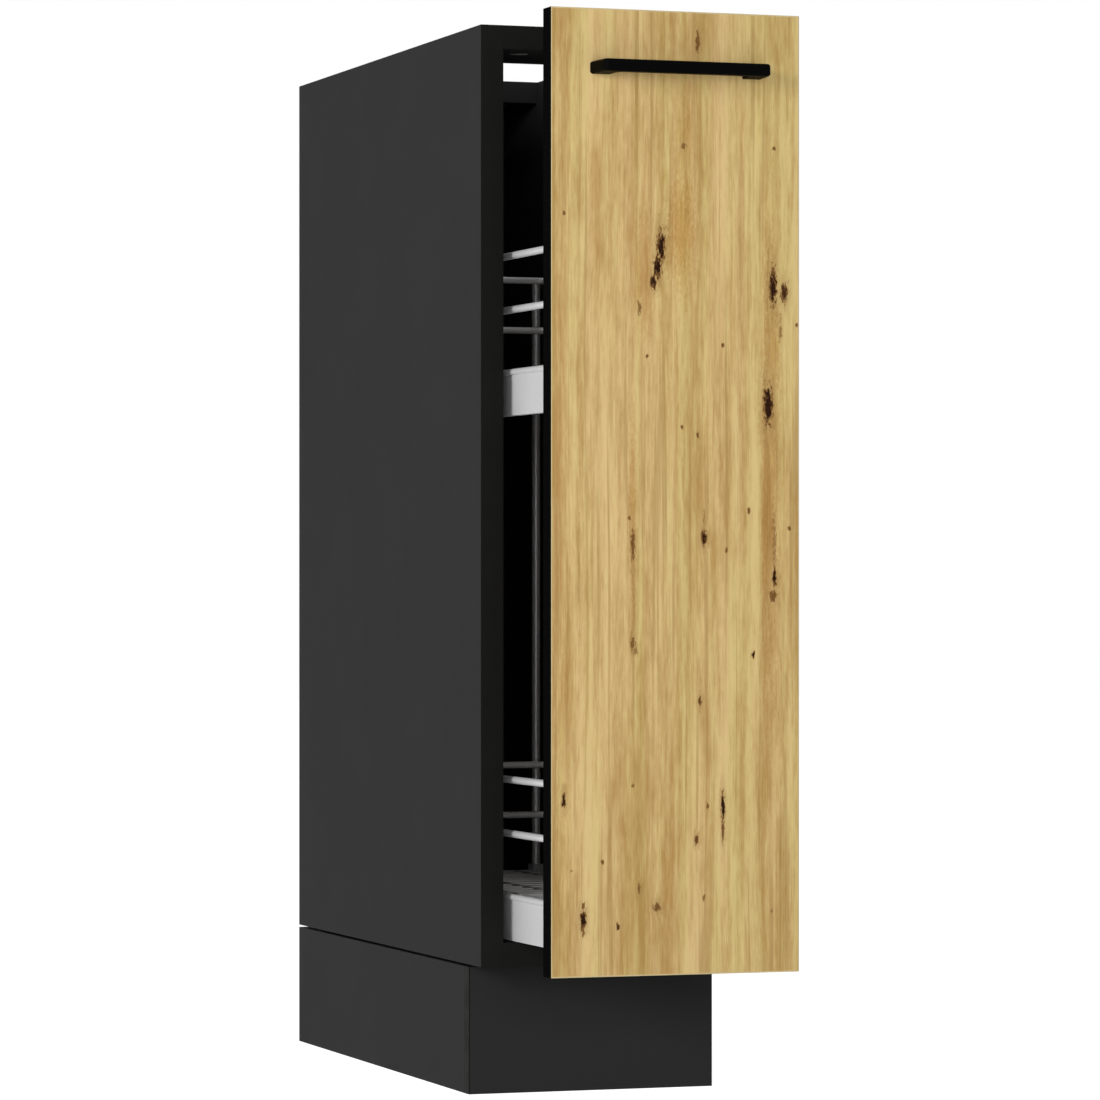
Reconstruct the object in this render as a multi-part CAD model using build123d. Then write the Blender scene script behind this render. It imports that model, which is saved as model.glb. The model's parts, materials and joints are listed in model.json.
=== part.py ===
from build123d import *
import os

# Pull-out base cabinet: a narrow carcass on four screw-in feet, with two wire
# baskets on a ball-bearing runner and a tall front panel.
# Millimetres. +Z is up, -Y is the side that the front panel faces, and the
# origin is the centre of the carcass footprint on the floor.

# Carcass
cabinet_width = 200.0
carcass_depth = 500.0
carcass_height = 720.0
leg_height = 100.0              # floor to the underside of the carcass
board = 18.0                    # carcass boards
edging = 0.8                    # edge strips on the carcass
rail_depth = 100.0              # each flat top rail, front to back
back_thickness = 3.0
back_inset = 10.0               # rear edge to the back panel
back_groove = 8.0               # how deep the back panel sits in the boards
slip = 0.1                      # clearance of a piece pushed into its groove or hole
rail_screw_spacing = 100.0      # worktop screw holes, across the cabinet
rail_screw_radius = 2.5

# Knock-down fittings of the board joints
cam_radius = 7.5
cam_depth = 12.5
cam_distance = 24.0             # board end to the cam's centre
cam_inset = 140.0               # carcass edge to the first cam
fitting_pitch = 32.0            # cam to dowel
bolt_thread_radius = 2.5
bolt_thread_length = 11.0
bolt_shaft_radius = 3.5
bolt_bore_radius = 4.0
dowel_radius = 4.0
dowel_length = 30.0

# Legs and feet
leg_inset_side = 38.0           # cabinet side to the leg's axis
leg_inset_front = 85.0
leg_inset_rear = 60.0
socket_plate_radius = 28.0
socket_plate = 4.0
sleeve_radius = 16.0
sleeve_wall = 3.5
sleeve_length = 62.0            # below the flange
rib_width = 2.5
rib_height = 12.0
rib_reach = 8.0
foot_radius = 23.0
foot_rim = 6.0
foot_cone_height = 8.0
foot_grip_count = 6
foot_grip_radius = 3.5
foot_clearance = 0.3            # spindle to sleeve, radial
foot_headroom = 12.0            # spindle's end to the flange

# Plinth
plinth_setback = 30.0           # carcass front to the plinth's face
plinth_board = 10.0
plinth_gap = 2.0                # plinth to the underside of the carcass
plinth_joint = 0.4              # front board to side board
plinth_edging_thickness = 1.0
clip_wall = 2.5
clip_height = 14.0
clip_plate_width = 26.0
front_clip_rise = 30.0          # sleeve's lower end to the clip
side_clip_rise = 8.0
clip_mouth_share = 0.75         # open mouth of the clip over its outer radius

# Front panel
panel_side_gap = 2.0            # cabinet side to the panel's edge
panel_margin = 3.5              # panel inside the carcass's top and underside
panel_thickness = 18.0
panel_edging = 1.0
panel_round = 0.6               # on the long edges of the panel's edge strips
closed_gap = 2.0                # carcass to the closed panel
pulled_out = 138.0              # how far the pull-out stands open as stored

# Handle
handle_length = 135.0
handle_height = 9.0
handle_projection = 27.0
handle_bar = 8.0                # bar thickness, front to back
handle_foot = 15.0              # width of each foot
handle_taper = 2.6              # each end leans in towards the front
handle_spacing = 128.0          # screw hole to screw hole
handle_drop = 44.0              # panel's top edge to the handle's axis
handle_round = 1.2
handle_inner_round = 6.0

# Runners: one pair of ball-bearing slides in a folded tray
sheet = 1.5                     # folded steel sheet
runner_setback = 20.0           # carcass front to the runner
runner_rear_gap = 40.0          # runner to the carcass's rear edge
runner_side_gap = 22.0          # carcass side to the fixed member
runner_height = 28.0
runner_lift = 0.5               # tray floor to the runner
runner_sheet = 1.2
member_width = 12.7             # the three nested members, side to side
outer_lip = 11.2
middle_offset = 2.6             # outer face of the fixed member to the middle one
middle_lip = 10.4
middle_half_height = 10.6
middle_flange = 1.8
inner_flange_start = 5.2
inner_half_height = 6.6
inner_flange = 1.4
ball_radius = 1.5
ball_play = 0.1
ball_offset = 7.0               # outer face of the fixed member to the ball row
ball_pitch = 60.0
ball_count = 4
cage_sheet = 0.6
cage_length = 216.0
cage_lip = 9.5
outer_cage_offset = 1.6
inner_cage_offset = 4.2
base_margin = 4.0               # the tray is longer than the runner at each end
base_wall_height = 28.0
tray_slot_length = 90.0
tray_slot_width = 16.0
base_screw_inset = 14.0         # sliding member to the tray's screws
base_screw_shares = (1 / 10, 1 / 2, 9 / 10)
carriage_screw_shares = (1 / 10, 9 / 10)

# Soft-close unit
soft_close_rear_gap = 90.0      # unit to the carcass's rear edge
soft_close_length = 110.0
soft_close_width = 26.0
soft_close_height = 22.0
soft_close_slot_width = 10.0
soft_close_slot_depth = 6.0
soft_close_wall = 4.0
catch_length = 20.0
catch_height = 3.4
catch_travel = 45.0
pin_radius = 2.5
play = 0.3                      # running clearance between moving pieces

# Baskets
basket_length_gap = 4.0         # shorter than the runner
basket_side_gap = 9.0           # carcass side to the rails
basket_pitch = 402.5            # lower basket to upper basket
rail_radius = 2.75
rail_corner = 20.0
ring_radius = 2.5               # wire round the floor
ring_inset = 8.0                # rails' outside to the ring's axis
ring_corner = 7.5
floor_wire_radius = 1.5
floor_wire_count = 16
floor_beam_inset = 43.0         # rails' outside to the long wires under the floor
bead_radius = 2.5               # rolled top edge of the basket's side
side_sheet = 1.5
side_height = 35.8
side_return = 6.0
lower_rail_rise = 48.2          # ring axis to the lower rail
upper_rail_rise = 89.7

# Front hoop, rods, brackets and clips
hoop_radius = 5.0
hoop_inset = 33.0               # baskets' outside to the hoop's leg
hoop_drop = 100.0               # carcass top to the hoop's top
hoop_bend = 18.0
hoop_foot = 0.3                 # above the carriage's deck
hoop_flat = 1.0                 # spot-faced seat under each front bolt's head
rod_radius = 3.5
rod_inset = 22.0                # baskets' outside to the rear rods
end_plate_height = 38.0
end_plate_inset = 17.0
rear_plate_depth = 20.0         # flat plate under the rear rods
bracket_plate = 2.0
bracket_width = 38.0
bracket_height = 26.0
bracket_block_width = 16.0
bracket_block_height = 20.0
upper_bracket_drop = 40.0       # hoop's top to the upper brackets
lower_bracket_rise = 210.0      # carcass underside to the lower brackets
bracket_screw_offset = 13.0     # sideways from the hoop's leg
clip_margin = 3.0
clip_depth_height = 14.0

# Screws
screw_radius = 1.9
screw_head_radius = 3.6
screw_head_height = 2.0
frame_bolt_radius = 2.4
frame_bolt_head = 4.0
frame_bolt_rise = 18.0          # carriage deck to the frame bolts

overrun = 2.0                   # how far a cutting tool runs past what it cuts

half_width = cabinet_width / 2
inner_half = half_width - board
y_front = -carcass_depth / 2
y_back = carcass_depth / 2
z_bottom = leg_height
z_floor = leg_height + board
z_top = leg_height + carcass_height
back_face = y_back - back_inset - back_thickness
bore_radius = sleeve_radius - sleeve_wall
sleeve_end_height = z_bottom - socket_plate - sleeve_length
front_clip_height = sleeve_end_height + front_clip_rise
side_clip_height = sleeve_end_height + side_clip_rise
panel_width = cabinet_width - 2 * panel_side_gap
panel_height = carcass_height - 2 * panel_margin
panel_base = z_bottom + panel_margin
runner_length = carcass_depth - runner_setback - runner_rear_gap
runner_half_width = inner_half - runner_side_gap
base_screw_place = runner_half_width - member_width - base_screw_inset
soft_close_start = carcass_depth - soft_close_rear_gap - soft_close_length
basket_depth = runner_length - basket_length_gap
basket_half_width = inner_half - basket_side_gap
ring_half_width = basket_half_width - ring_inset
floor_beam_place = basket_half_width - floor_beam_inset
hoop_half_width = basket_half_width - hoop_inset
hoop_top = z_top - hoop_drop
rod_place = basket_half_width - rod_inset
end_plate_half_width = basket_half_width - end_plate_inset
upper_bracket_height = hoop_top - upper_bracket_drop
lower_bracket_height = z_bottom + lower_bracket_rise
SIDES = {"left": -1, "right": 1}
BASE = (Align.CENTER, Align.CENTER, Align.MIN)


def span(start, length):
    return start, start + length


def block(x_span, y_span, z_span):
    """A box from three pairs of limits."""
    spans = [sorted(pair) for pair in (x_span, y_span, z_span)]
    centre = [(low + high) / 2 for low, high in spans]
    return Pos(*centre) * Box(*[high - low for low, high in spans])


def rect(x_span, z_span):
    """A flat rectangle from two pairs of limits."""
    spans = [sorted(pair) for pair in (x_span, z_span)]
    centre = [(low + high) / 2 for low, high in spans]
    return Pos(*centre) * Rectangle(*[high - low for low, high in spans])


def along_y(section, y_span):
    """Extrude an XZ section between two depths."""
    low, high = sorted(y_span)
    return extrude(Plane.XZ.offset(-high) * section, amount=high - low)


def rod(radius, start, end):
    axis = Vector(*end) - Vector(*start)
    return Plane(origin=start, z_dir=axis) * Cylinder(radius, axis.length, align=BASE)


def screw(tip, head_face, head_radius=screw_head_radius, radius=screw_radius):
    """A pan-head screw from its tip to the face under its head."""
    axis = (Vector(*head_face) - Vector(*tip)).normalized()
    head_end = Vector(*head_face) + axis * screw_head_height
    return rod(radius, tip, head_face) + rod(head_radius, head_face, tuple(head_end))


def opened(shape, share):
    """Place a closed-position shape where it stands as stored."""
    return Pos(0, -pulled_out * share, 0) * shape


os.makedirs("parts", exist_ok=True)


def save(name, pieces):
    pieces = pieces if isinstance(pieces, list) else [pieces]
    solids = [solid for piece in pieces for solid in piece.solids()]
    export_step(Compound(children=solids), f"parts/{name}.step")


# Board joints: (cam depth, dowel depth, height of the board's middle)
rail_middle = rail_depth / 2
board_middle = board / 2
JOINTS = [
    (y_front + cam_inset, y_front + cam_inset + fitting_pitch, z_bottom + board_middle),
    (y_back - cam_inset, y_back - cam_inset - fitting_pitch, z_bottom + board_middle),
    (y_front + rail_middle - fitting_pitch / 2,
     y_front + rail_middle + fitting_pitch / 2, z_top - board_middle),
    (y_back - rail_middle - fitting_pitch / 2,
     y_back - rail_middle + fitting_pitch / 2, z_top - board_middle),
]


def back_panel_space(growth):
    """The back panel's volume, grown by a clearance to cut its grooves."""
    return block((-inner_half - back_groove - growth, inner_half + back_groove + growth),
                 (back_face - growth, back_face + back_thickness + growth),
                 (z_floor - back_groove - growth, z_top - board + back_groove + growth))


def side_panel(side):
    panel = block((side * inner_half, side * half_width), (y_front + edging, y_back),
                  (z_bottom, z_top))
    panel -= back_panel_space(slip)
    for cam_y, dowel_y, z in JOINTS:
        thread_end = inner_half + bolt_thread_length + slip
        dowel_end = inner_half + dowel_length / 2 + slip
        start = side * (inner_half - overrun)
        panel -= rod(bolt_thread_radius + slip, (start, cam_y, z), (side * thread_end, cam_y, z))
        panel -= rod(dowel_radius + slip, (start, dowel_y, z), (side * dowel_end, dowel_y, z))
    return panel


def flat_board(y_span, z_low, joints):
    """A horizontal board between the sides, drilled for its fittings."""
    panel = block((-inner_half, inner_half), y_span, span(z_low, board))
    panel -= back_panel_space(slip)
    for cam_y, dowel_y, z in joints:
        for side in SIDES.values():
            end = side * (inner_half + overrun)
            cam_x = side * (inner_half - cam_distance)
            dowel_x = side * (inner_half - dowel_length / 2 - slip)
            panel -= rod(bolt_bore_radius, (cam_x, cam_y, z), (end, cam_y, z))
            panel -= rod(dowel_radius + slip, (dowel_x, dowel_y, z), (end, dowel_y, z))
            panel -= rod(cam_radius, (cam_x, cam_y, z_low - overrun),
                         (cam_x, cam_y, z_low + cam_depth))
    return panel


def bottom_panel():
    """The bottom board, with pilot holes for the legs and the runner tray."""
    panel = flat_board((y_front + edging, y_back), z_bottom, JOINTS[:2])
    for x, y in base_screw_places:
        panel -= rod(screw_radius, (x, y, z_floor - board_middle), (x, y, z_floor + overrun))
    for place in LEGS.values():
        for x, y in leg_screw_places(*place):
            panel -= rod(screw_radius, (x, y, z_bottom - overrun), (x, y, leg_screw_tip))
    return panel


def top_rail(y_span, joints):
    rail = flat_board(y_span, z_top - board, joints)
    y = sum(y_span) / 2
    for side in SIDES.values():
        x = side * rail_screw_spacing / 2
        rail -= rod(rail_screw_radius, (x, y, z_top - board - overrun), (x, y, z_top + overrun))
    return rail


def carcass_edge_strips():
    front = (y_front, y_front + edging)
    strips = [block((side * inner_half, side * half_width), front, (z_bottom, z_top))
              for side in SIDES.values()]
    strips.append(block((-inner_half, inner_half), front, (z_bottom, z_floor)))
    strips.append(block((-inner_half, inner_half), front, (z_top - board, z_top)))
    return strips


def cam_lock(side, cam_y, z):
    x = side * (inner_half - cam_distance)
    z_low = z - board_middle
    radius = cam_radius - slip
    lock = rod(radius, (x, cam_y, z_low), (x, cam_y, z_low + cam_depth - slip))
    lock -= rod(bolt_bore_radius, (x, cam_y, z), (side * inner_half, cam_y, z))
    slot = block((x - radius, x + radius),
                 (cam_y - bolt_thread_radius / 2, cam_y + bolt_thread_radius / 2),
                 (z_low - overrun, z_low + bolt_thread_radius))
    return lock - slot


def cam_bolt(side, cam_y, z):
    seat = (side * inner_half, cam_y, z)
    thread_end = (side * (inner_half + bolt_thread_length), cam_y, z)
    head_end = (side * (inner_half - cam_distance + bolt_shaft_radius), cam_y, z)
    return rod(bolt_thread_radius, seat, thread_end) + rod(bolt_shaft_radius, seat, head_end)


def dowel(side, dowel_y, z):
    reach = dowel_length / 2
    return rod(dowel_radius, (side * (inner_half - reach), dowel_y, z),
               (side * (inner_half + reach), dowel_y, z))


LEGS = {
    f"{row}_{name}": (side * (half_width - leg_inset_side), y)
    for row, y in (("front", y_front + leg_inset_front), ("rear", y_back - leg_inset_rear))
    for name, side in SIDES.items()
}


leg_screw_tip = z_bottom + board - socket_plate


def leg_screw_places(x, y):
    reach = (sleeve_radius + socket_plate_radius) / 2
    return [(x, y + way * reach) for way in (-1, 1)]


def leg_socket(x, y):
    """A flanged sleeve with four ribs and an open bore for the foot's spindle."""
    plate_low = z_bottom - socket_plate
    socket = rod(socket_plate_radius, (x, y, plate_low), (x, y, z_bottom))
    socket += rod(sleeve_radius, (x, y, sleeve_end_height), (x, y, plate_low))
    reach = sleeve_radius + rib_reach
    rib = Polyline((0, 0), (reach, 0), (0, -rib_height - reach), close=True)
    rib = extrude(Plane.XZ * make_face(rib), amount=rib_width / 2, both=True)
    for turn in range(4):
        socket += Pos(x, y, plate_low) * Rot(0, 0, 45 + turn * 90) * rib
    socket -= rod(bore_radius, (x, y, sleeve_end_height - overrun), (x, y, plate_low))
    for x, screw_y in leg_screw_places(x, y):
        socket -= rod(screw_radius + slip, (x, screw_y, plate_low - overrun),
                      (x, screw_y, z_bottom + overrun))
    return socket


def leg_screws(x, y):
    head_face = z_bottom - socket_plate
    return [screw((x, screw_y, leg_screw_tip), (x, screw_y, head_face))
            for x, screw_y in leg_screw_places(x, y)]


def foot(x, y):
    """A round foot with grip notches under a plain spindle."""
    shoulder = foot_rim + foot_cone_height
    spindle_radius = bore_radius - foot_clearance
    shape = Cylinder(foot_radius, foot_rim, align=BASE)
    for turn in range(foot_grip_count):
        angle = turn * 360 / foot_grip_count
        notch = Pos(foot_radius, 0, -overrun) * Cylinder(
            foot_grip_radius, foot_rim + 2 * overrun, align=BASE)
        shape -= Rot(0, 0, angle) * notch
    shape += Pos(0, 0, foot_rim) * Cone(foot_radius - foot_grip_radius, spindle_radius,
                                        foot_cone_height, align=BASE)
    top = z_bottom - socket_plate - foot_headroom
    shape += Pos(0, 0, shoulder) * Cylinder(spindle_radius, top - shoulder, align=BASE)
    return Pos(x, y, 0) * shape


plinth_height = leg_height - plinth_gap
plinth_face = y_front + plinth_setback
plinth_rear = plinth_face + plinth_board


def plinth_side(side):
    return block((side * (half_width - plinth_board), side * half_width),
                 (plinth_rear + plinth_joint, y_back), (0, plinth_height))


def plinth_clip(x, y, z, angle, reach):
    """A snap ring round the leg, an arm and a plate against the plinth board."""
    inner = sleeve_radius + slip
    outer = inner + clip_wall
    mouth = outer * clip_mouth_share
    clip = Cylinder(outer, clip_height, align=BASE)
    clip += block((0, reach), (-clip_wall, clip_wall), (0, clip_height))
    clip += block((reach - clip_wall, reach), (-clip_plate_width / 2, clip_plate_width / 2),
                  (0, clip_height))
    clip -= Pos(0, 0, -overrun) * Cylinder(inner, clip_height + 2 * overrun, align=BASE)
    clip -= block((-outer - overrun, 0), (-mouth, mouth), (-overrun, clip_height + overrun))
    return Pos(x, y, z) * Rot(0, 0, angle) * clip


def plinth_clips():
    clips = []
    for name, (x, y) in LEGS.items():
        outward = 0 if x > 0 else 180
        clips.append(plinth_clip(x, y, side_clip_height, outward, leg_inset_side - plinth_board))
        if name.startswith("front"):
            clips.append(plinth_clip(x, y, front_clip_height, -90, y - plinth_rear))
    return clips


# Runner, in its closed position; depths are measured from the carcass front
runner_start = y_front + runner_setback
runner_middle = z_floor + sheet + runner_lift + runner_height / 2
cage_start = runner_start + (runner_length - cage_length) / 2
raceway = ball_radius + ball_play
outer_ball_height = (runner_height / 2 - runner_sheet + middle_half_height) / 2
middle_inner = middle_half_height - middle_flange
inner_ball_height = (middle_inner + inner_half_height) / 2


def channel(side, web, lip, half_height, flange, web_sheet):
    """A C section: a web, two flanges, lying between two offsets."""
    def x(offset):
        return side * (runner_half_width - offset)

    shape = rect((x(web), x(web + web_sheet)), (-half_height, half_height))
    for way in (-1, 1):
        shape += rect((x(min(web, lip)), x(max(web, lip))),
                      (way * (half_height - flange), way * half_height))
    return Pos(0, runner_middle) * shape


def raceways(side, height):
    x = side * (runner_half_width - ball_offset)
    return [Pos(x, runner_middle + way * height) * Circle(raceway) for way in (-1, 1)]


def runner_outer(side):
    section = channel(side, 0, outer_lip, runner_height / 2, runner_sheet, runner_sheet)
    return along_y(section - raceways(side, outer_ball_height), span(runner_start, runner_length))


def runner_middle_member(side):
    section = channel(side, middle_offset, middle_lip, middle_half_height, middle_flange,
                      runner_sheet)
    section -= raceways(side, outer_ball_height) + raceways(side, inner_ball_height)
    return along_y(section, span(runner_start, runner_length))


def runner_inner(side):
    section = channel(side, member_width - runner_sheet, inner_flange_start, inner_half_height,
                      inner_flange, runner_sheet)
    shape = along_y(section - raceways(side, inner_ball_height),
                    span(runner_start, runner_length))
    for y in carriage_screw_depths():
        web = side * (runner_half_width - member_width)
        shape -= rod(screw_radius + slip, (web - side * overrun, y, runner_middle),
                     (web + side * overrun, y, runner_middle))
    return shape


def ball_depths():
    first = cage_start + (cage_length - ball_pitch * (ball_count - 1)) / 2
    return [first + index * ball_pitch for index in range(ball_count)]


def ball_cage(side, offset, height):
    section = channel(side, offset, cage_lip, height + cage_sheet / 2, cage_sheet, cage_sheet)
    cage = along_y(section, span(cage_start, cage_length))
    x = side * (runner_half_width - ball_offset)
    reach = height + ball_radius
    for y in ball_depths():
        cage -= rod(raceway, (x, y, runner_middle - reach), (x, y, runner_middle + reach))
    return cage


def balls(side, height):
    x = side * (runner_half_width - ball_offset)
    return [Pos(x, y, runner_middle + way * height) * Sphere(ball_radius)
            for y in ball_depths() for way in (-1, 1)]


def tray_slots(y_low, y_high, z_low, rows):
    """Rounded lightening slots along the middle of a folded tray."""
    pitch = (y_high - y_low) / rows
    slot = extrude(SlotOverall(tray_slot_length, tray_slot_width), amount=sheet + 2 * overrun)
    return [Pos(0, y_low + pitch * (row + 1 / 2), z_low - overrun) * Rot(0, 0, 90) * slot
            for row in range(rows)]


base_start = runner_start - base_margin
base_length = runner_length + 2 * base_margin
base_screw_places = [(side * base_screw_place, base_start + base_length * share)
                     for side in SIDES.values() for share in base_screw_shares]


def runner_base():
    """A folded tray: a floor on the bottom panel and two walls for the runners."""
    half = runner_half_width + sheet
    section = rect((-half, half), span(z_floor, sheet))
    for side in SIDES.values():
        section += rect((side * runner_half_width, side * half), span(z_floor, base_wall_height))
    base = along_y(section, span(base_start, base_length))
    base -= tray_slots(base_start, y_front + soft_close_start, z_floor, 2)
    for x, y in base_screw_places:
        base -= rod(screw_radius + slip, (x, y, z_floor - overrun), (x, y, z_floor + overrun))
    return base


def runner_base_screws():
    return [screw((x, y, z_floor - board_middle), (x, y, z_floor + sheet))
            for x, y in base_screw_places]


# Carriage, closed: a folded deck on the inner members, with an upright plate for the
# hoop at its front and a flat one for the rods at its rear
panel_back = y_front - closed_gap
hoop_y = panel_back + bracket_plate + play + hoop_radius
carriage_start = hoop_y + hoop_radius + play
basket_start = carriage_start
basket_end = basket_start + basket_depth
rod_y = basket_end + play + rod_radius
carriage_end = rod_y + rod_radius + play + sheet
deck = runner_middle + runner_height / 2 + play + sheet
carriage_half = runner_half_width - member_width


def carriage_screw_depths():
    return [runner_start + runner_length * share for share in carriage_screw_shares]


def carriage():
    section = rect((-carriage_half, carriage_half), (deck - sheet, deck))
    for side in SIDES.values():
        section += rect((side * carriage_half, side * (carriage_half - sheet)),
                        (runner_middle - inner_half_height, deck))
    shape = along_y(section, (carriage_start, carriage_end))
    width = (-end_plate_half_width, end_plate_half_width)
    upright = block(width, span(carriage_start, sheet), span(deck - sheet, end_plate_height))
    ears = upright.edges().filter_by(Axis.Y).sort_by(Axis.Z)[-2:]
    shape += fillet(ears, end_plate_height / 4)
    shape += block(width, (carriage_end - rear_plate_depth, carriage_end), (deck - sheet, deck))
    shape -= tray_slots(carriage_start, y_front + soft_close_start, deck - sheet, 2)
    shape += rod(pin_radius, (0, pin_y, deck - sheet / 2),
                 (0, pin_y, soft_close_top - soft_close_slot_depth + catch_height + 2 * play))
    for y in carriage_screw_depths():
        for side in SIDES.values():
            shape -= rod(screw_radius + slip, (side * (carriage_half - overrun), y, runner_middle),
                         (side * (carriage_half + overrun), y, runner_middle))
    for side in SIDES.values():
        x = side * hoop_half_width
        shape -= rod(frame_bolt_radius + slip, (x, carriage_start - overrun, bolt_z),
                     (x, carriage_start + sheet + overrun, bolt_z))
    return shape


bolt_z = deck + frame_bolt_rise


def frame_bolts():
    """Bolts through the hoop's legs and the carriage's upright plate."""
    return [screw((side * hoop_half_width, carriage_start + sheet + play, bolt_z),
                  (side * hoop_half_width, hoop_y - hoop_radius + hoop_flat, bolt_z),
                  frame_bolt_head, frame_bolt_radius)
            for side in SIDES.values()]


def carriage_screws():
    return [screw((side * (carriage_half + 2 * runner_sheet), y, runner_middle),
                  (side * (carriage_half - sheet), y, runner_middle))
            for side in SIDES.values() for y in carriage_screw_depths()]


# Soft-close unit
soft_close_top = z_floor + sheet + soft_close_height
pin_y = y_front + soft_close_start + soft_close_length - soft_close_wall - catch_length / 2
catch_width = soft_close_slot_width - 2 * play


def soft_close_housing():
    y_span = span(y_front + soft_close_start, soft_close_length)
    half = soft_close_width / 2
    housing = block((-half, half), y_span, (z_floor + sheet, soft_close_top))
    housing = fillet(housing.edges().filter_by(Axis.Z), soft_close_wall / 2)
    slot_half = soft_close_slot_width / 2
    return housing - block((-slot_half, slot_half),
                           (y_span[0] - overrun, y_span[1] - soft_close_wall),
                           (soft_close_top - soft_close_slot_depth, soft_close_top + overrun))


def soft_close_catch():
    floor = soft_close_top - soft_close_slot_depth + play
    y = pin_y - catch_travel
    catch = block((-catch_width / 2, catch_width / 2),
                  (y - catch_length / 2 + play, y + catch_length / 2 - play),
                  (floor, floor + catch_height - play))
    cradle = rod(catch_width / 3, (-catch_width, y, floor + catch_height),
                 (catch_width, y, floor + catch_height))
    return catch - cradle


# Front panel and handle, closed
panel_front = panel_back - panel_thickness
panel_top = panel_base + panel_height
handle_z = panel_top - handle_drop


def front_panel():
    half = panel_width / 2 - panel_edging
    panel = block((-half, half), (panel_front, panel_back),
                  (panel_base + panel_edging, panel_top - panel_edging))
    for side in SIDES.values():
        x = side * handle_spacing / 2
        panel -= rod(screw_radius + slip, (x, panel_front - overrun, handle_z),
                     (x, panel_back + overrun, handle_z))
    for x, z in bracket_screw_places():
        panel -= rod(screw_radius, (x, panel_back - panel_thickness / 2, z),
                     (x, panel_back + overrun, z))
    return panel


def front_edge_strips():
    half = panel_width / 2
    depth = (panel_front, panel_back)
    strips = []
    for side in SIDES.values():
        strip = block((side * (half - panel_edging), side * half), depth, (panel_base, panel_top))
        outer_edges = strip.edges().filter_by(Axis.Z).group_by(lambda edge: side * edge.center().X)
        strips.append(fillet(outer_edges[-1], panel_round))
    inner = (-half + panel_edging, half - panel_edging)
    strips.append(block(inner, depth, span(panel_base, panel_edging)))
    strips.append(block(inner, depth, (panel_top - panel_edging, panel_top)))
    return strips


def handle():
    """A flat bridge handle: a bar whose ends turn back to the panel."""
    half = handle_length / 2
    inner = half - handle_foot
    front_half = half - handle_taper
    outline = make_face(Polyline((-half, 0), (half, 0), (front_half, -handle_projection),
                                 (-front_half, -handle_projection), close=True))
    gap = Pos(0, overrun) * Rectangle(2 * inner, handle_projection - handle_bar + overrun,
                                      align=(Align.CENTER, Align.MAX))
    gap = fillet(gap.vertices().group_by(Axis.Y)[0], handle_inner_round)
    outline = fillet(outline.vertices().group_by(Axis.Y)[0], handle_inner_round / 2) - gap
    bar = Pos(0, panel_front, handle_z - handle_height / 2) * extrude(outline,
                                                                       amount=handle_height)
    front = bar.faces().sort_by(Axis.Y)[0]
    bar = chamfer(front.edges().filter_by(Axis.X), handle_round)
    for side in SIDES.values():
        x = side * handle_spacing / 2
        bar -= rod(screw_radius, (x, panel_front - handle_projection / 2, handle_z),
                   (x, panel_front + overrun, handle_z))
    return bar


def handle_screws():
    return [screw((side * handle_spacing / 2, panel_front - handle_projection / 3, handle_z),
                  (side * handle_spacing / 2, panel_back, handle_z))
            for side in SIDES.values()]


def hoop():
    """An upright tube bent into a hoop behind the front panel."""
    foot_z = deck + hoop_foot
    path = FilletPolyline((-hoop_half_width, hoop_y, foot_z), (-hoop_half_width, hoop_y, hoop_top),
                          (hoop_half_width, hoop_y, hoop_top), (hoop_half_width, hoop_y, foot_z),
                          radius=hoop_bend)
    tube = sweep(Plane(origin=path @ 0, z_dir=path % 0) * Circle(hoop_radius), path=path)
    for side in SIDES.values():
        x = side * hoop_half_width
        face = hoop_y - hoop_radius
        tube -= rod(frame_bolt_radius + slip, (x, face - overrun, bolt_z),
                    (x, hoop_y + hoop_radius + overrun, bolt_z))
        tube -= rod(frame_bolt_head + slip, (x, face - overrun, bolt_z),
                    (x, face + hoop_flat, bolt_z))
    return tube


def bracket_screw_places():
    return [(side * hoop_half_width + way * bracket_screw_offset, z)
            for z in (lower_bracket_height, upper_bracket_height)
            for side in SIDES.values() for way in (-1, 1)]


def front_brackets():
    """Plates screwed to the panel, each with a clamp block round the hoop's leg."""
    brackets = []
    for z in (lower_bracket_height, upper_bracket_height):
        for side in SIDES.values():
            x = side * hoop_half_width
            plate = block((x - bracket_width / 2, x + bracket_width / 2),
                          (panel_back, panel_back + bracket_plate),
                          (z - bracket_height / 2, z + bracket_height / 2))
            plate += block((x - bracket_block_width / 2, x + bracket_block_width / 2),
                           (panel_back, hoop_y + hoop_radius + bracket_plate),
                           (z - bracket_block_height / 2, z + bracket_block_height / 2))
            plate -= rod(hoop_radius + slip / 2, (x, hoop_y, z - bracket_height),
                         (x, hoop_y, z + bracket_height))
            for way in (-1, 1):
                screw_x = x + way * bracket_screw_offset
                plate -= rod(screw_radius + slip, (screw_x, panel_back - overrun, z),
                             (screw_x, panel_back + bracket_plate + overrun, z))
            brackets.append(plate)
    return brackets


def bracket_screws():
    return [screw((x, panel_back - panel_thickness / 3, z), (x, panel_back + bracket_plate, z))
            for x, z in bracket_screw_places()]


# Baskets, closed
ring_z = deck + play + ring_radius
basket_middle = (basket_start + basket_end) / 2


def wire_loop(half, y_low, y_high, corner, radius, z):
    """A closed loop of round wire with rounded corners, given by its outside."""
    width = 2 * (half - radius)
    depth = y_high - y_low - 2 * radius
    outline = Pos(0, (y_low + y_high) / 2, z) * RectangleRounded(width, depth, corner)
    path = outline.wire()
    return sweep(Plane(origin=path @ 0, z_dir=path % 0) * Circle(radius), path=path)


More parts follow.
